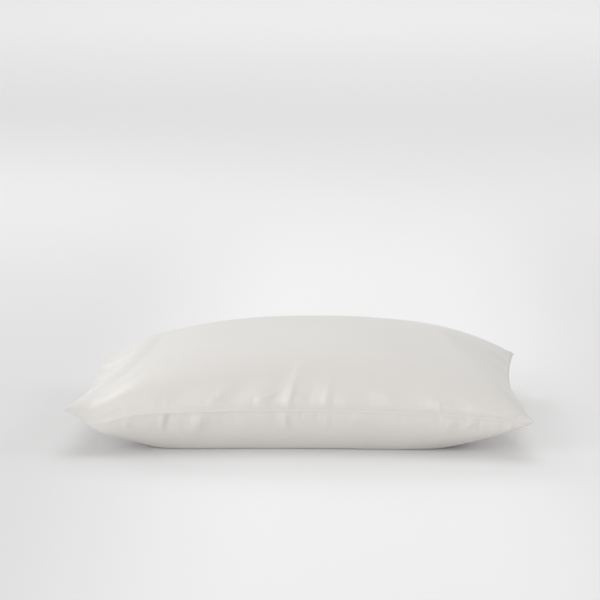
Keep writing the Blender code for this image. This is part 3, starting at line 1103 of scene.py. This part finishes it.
def build_satin(finish: SatinFinish) -> bpy.types.Material:
    """Satin with its clouds of colour, its slubs and its sheen.

    Args:
        finish: the finish.

    Returns:
        The material.
    """
    material, shader = new_material(finish)
    shader.inputs["Sheen Roughness"].default_value = finish.sheen_roughness
    tree = material.node_tree
    cloth = add_node(tree, "ShaderNodeTexCoord", {}, {}).outputs["UV"]
    clouds = add_node(tree, "ShaderNodeTexNoise",
                      {"Scale": 1.0 / finish.cloud_size, "Detail": finish.cloud_detail}, {"Vector": cloth})
    colour = add_node(tree, "ShaderNodeMix", {"data_type": "RGBA"}, {"Factor": clouds.outputs["Fac"]})
    colour.inputs[6].default_value = linear(finish.colour)
    colour.inputs[7].default_value = linear(finish.clouded)
    tree.links.new(colour.outputs[2], shader.inputs["Base Color"])
    stretch = (1.0 / finish.slub_length, 1.0 / finish.slub_width, 1.0)
    stretched = add_node(tree, "ShaderNodeMapping", {"Scale": stretch}, {"Vector": cloth})
    slubs = add_node(tree, "ShaderNodeTexNoise", {"Scale": 1.0, "Detail": finish.slub_detail},
                     {"Vector": stretched.outputs["Vector"]})
    bump = add_node(tree, "ShaderNodeBump",
                    {"Strength": finish.slub_strength, "Distance": finish.slub_height},
                    {"Height": slubs.outputs["Fac"]})
    tree.links.new(bump.outputs["Normal"], shader.inputs["Normal"])
    return material


def build_floor(finish: PaperFinish) -> bpy.types.Object:
    """A wide sheet of paper, a hair under the case, which belongs to the studio.

    Its painted shade, a grey that stands in for the light falling off to both sides, is a smooth
    step of the distance to both sides, times one along Y that ends it behind the case.

    Args:
        finish: the paper's finish.

    Returns:
        The object.
    """
    bpy.ops.mesh.primitive_plane_add(size=FLOOR_SIZE, location=(0.0, 0.0, -FLOOR_DROP))
    floor = bpy.context.object
    floor.name = "studio_floor"
    material, shader = new_material(finish)
    shader.inputs["Specular IOR Level"].default_value = 0.0
    tree = material.node_tree
    # Painted shade: the paper turns grey to both sides of the case, where the light falls off.
    place = add_node(tree, "ShaderNodeTexCoord", {}, {}).outputs["Object"]
    axes = add_node(tree, "ShaderNodeSeparateXYZ", {}, {"Vector": place})
    from_middle = add_node(tree, "ShaderNodeMath", {"operation": "SUBTRACT"}, {"Value": axes.outputs["X"]})
    from_middle.inputs[1].default_value = finish.middle
    away = add_node(tree, "ShaderNodeMath", {"operation": "ABSOLUTE"}, {"Value": from_middle.outputs[0]})
    start, end = finish.beside
    beside = add_node(tree, "ShaderNodeMapRange",
                      {"interpolation_type": "SMOOTHSTEP", "From Min": start, "From Max": end},
                      {"Value": away.outputs[0]})
    start, end = finish.behind
    behind = add_node(tree, "ShaderNodeMapRange",
                      {"interpolation_type": "SMOOTHSTEP", "From Min": start, "From Max": end,
                       "To Min": 1.0, "To Max": 0.0}, {"Value": axes.outputs["Y"]})
    share = add_node(tree, "ShaderNodeMath", {"operation": "MULTIPLY"}, {"Value": beside.outputs["Result"]})
    tree.links.new(behind.outputs["Result"], share.inputs[1])
    # Mixes the painted shade's grey into the paper's colour.
    painted_shade_grey = add_node(tree, "ShaderNodeMix", {"data_type": "RGBA"}, {"Factor": share.outputs[0]})
    painted_shade_grey.inputs[6].default_value = linear(finish.colour)
    painted_shade_grey.inputs[7].default_value = linear(finish.painted_shade_grey)
    tree.links.new(painted_shade_grey.outputs[2], shader.inputs["Base Color"])
    floor.data.materials.append(material)
    return floor


@dataclass(frozen=True)
class AreaLight:
    """A soft rectangular light."""

    name: str
    place: tuple[float, float, float]
    size: tuple[float, float]
    power: float
    target: tuple[float, float, float] = (0.0, 0.0, 0.1)
    shines: bool = True     # whether glossy cloth mirrors it
    spread: float = 180.0   # angle of its cone in degrees, which a grid narrows

    def build(self) -> bpy.types.Object:
        """The light, turned towards its target.

        Returns:
            The object, linked to the scene.
        """
        data = bpy.data.lights.new(self.name, "AREA")
        data.shape = "RECTANGLE"
        data.size, data.size_y = self.size
        data.energy = self.power
        data.spread = radians(self.spread)
        light = bpy.data.objects.new(self.name, data)
        light.location = self.place
        light.visible_glossy = self.shines
        back = Vector(self.place) - Vector(self.target)
        light.rotation_euler = back.to_track_quat("Z", "Y").to_euler()
        bpy.context.scene.collection.objects.link(light)
        return light


STUDIO_LIGHTS = (
    AreaLight("key_light", (-4.0, -4.0, 2.5), (3.0, 3.0), 84.0),
    AreaLight("low_key_light", (-2.4, -4.6, 0.4), (1.5, 0.7), 48.0),
    AreaLight("top_light", (0.0, 0.3, 4.0), (3.0, 3.0), 30.0, shines=False),
    AreaLight("rear_left_light", (-3.5, 3.5, 2.5), (3.0, 3.0), 14.0, spread=80.0),
    AreaLight("right_light", (5.0, 0.0, 2.0), (3.0, 3.0), 52.0),
    AreaLight("low_left_light", (-4.5, -1.5, 0.6), (1.5, 1.0), 8.0),
    AreaLight("backdrop_light", (0.0, 5.0, 5.0), (4.0, 8.0), 14.0, (0.0, 5.0, 0.0), shines=False),
    AreaLight("far_backdrop_light", (0.0, 10.0, 6.5), (10.0, 8.0), 275.0, (0.0, 10.0, 0.0), shines=False),
)


@dataclass(frozen=True)
class PhotoCamera:
    """The camera of the photograph, low in front of the near long side."""

    target: tuple[float, float, float] = (-0.0036, 0.0, 0.2109)
    distance: float = 3.7564
    elevation: float = 11.44
    azimuth: float = 1.547
    focal_pixels: float = 2232.5
    frame_pixels: float = 600.0
    sensor: float = 36.0

    def build(self) -> bpy.types.Object:
        """The camera, turned towards its target and made the scene's own.

        Returns:
            The object, linked to the scene.
        """
        back = Vector((sin(radians(self.azimuth)) * cos(radians(self.elevation)),
                       -cos(radians(self.azimuth)) * cos(radians(self.elevation)),
                       sin(radians(self.elevation))))
        data = bpy.data.cameras.new("photo_camera")
        data.sensor_width = self.sensor
        data.lens = self.focal_pixels / self.frame_pixels * self.sensor
        camera = bpy.data.objects.new("photo_camera", data)
        camera.location = Vector(self.target) + back * self.distance
        camera.rotation_euler = back.to_track_quat("Z", "Y").to_euler()
        bpy.context.scene.collection.objects.link(camera)
        bpy.context.scene.camera = camera
        return camera


def build_world(strength: float) -> None:
    """An even white surround.

    Args:
        strength: how brightly it shines.
    """
    world = bpy.data.worlds.new("studio")
    world.use_nodes = True
    background = world.node_tree.nodes["Background"]
    background.inputs["Color"].default_value = linear("#FFFFFF")
    background.inputs["Strength"].default_value = strength
    bpy.context.scene.world = world


def main() -> None:
    """Builds the studio and the case."""
    logging.basicConfig(level=logging.INFO, format="%(name)s: %(message)s")
    low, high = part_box(CAD_NODE)
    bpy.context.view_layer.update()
    scene = bpy.context.scene
    scene.view_settings.view_transform = "Standard"
    PhotoCamera().build()
    build_world(SURROUND)
    for light in STUDIO_LIGHTS:
        light.build()
    build_floor(PAPER)
    form = CaseForm(high.x - low.x, high.y - low.y)
    case = SatinCase(form, Creases(PHOTO_FOLDS + HIDDEN_FOLDS, RIDGES), build_satin(SATIN))
    piece = case.build()
    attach(piece, BODY)
    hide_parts(CAD_NODE)
    LOG.info("satin_case: %d faces", len(piece.data.polygons))
    thread, _ = new_material(THREAD)
    stitches = HemStitches(thread)
    for panel in Panel:
        row = stitches.build(f"hem_stitches_{panel.value}", *case.stitch_line(panel))
        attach(row, BODY)
        LOG.info("%s: %d faces", row.name, len(row.data.polygons))


if __name__ == "__main__":
    main()
